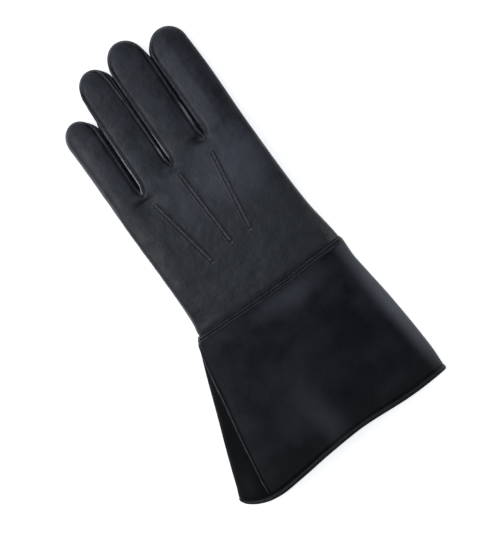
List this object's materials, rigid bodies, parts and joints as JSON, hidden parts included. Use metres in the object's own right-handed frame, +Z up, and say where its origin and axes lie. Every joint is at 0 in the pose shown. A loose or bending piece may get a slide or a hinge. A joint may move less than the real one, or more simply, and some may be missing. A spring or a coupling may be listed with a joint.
{
  "type": "gauntlet glove",
  "caption": "Left-hand leather gauntlet glove with a long flared cuff, a gusset, a bound hem and raised points on its back, lying flat.",
  "frame": {"origin": "under the middle of the whole glove, on the surface that it lies on", "axes": "+Y along the hand towards the fingertips, +X across it towards the thumb side, +Z up out of the back of the hand"},
  "size_m": [0.178, 0.3344, 0.0317],
  "materials": {
    "hand_leather": "smooth black glove leather with a soft sheen",
    "cuff_leather": "firmer smooth black leather with a soft sheen"
  },
  "bodies": {
    "root": {"hand_back": "hand_leather", "hand_palm": "hand_leather", "fourchette_little_ring": "hand_leather", "fourchette_ring_middle": "hand_leather", "fourchette_middle_index": "hand_leather", "thumb": "hand_leather", "cuff": "cuff_leather", "cuff_gusset": "cuff_leather", "hem_binding": "cuff_leather"}
  },
  "joints": []
}
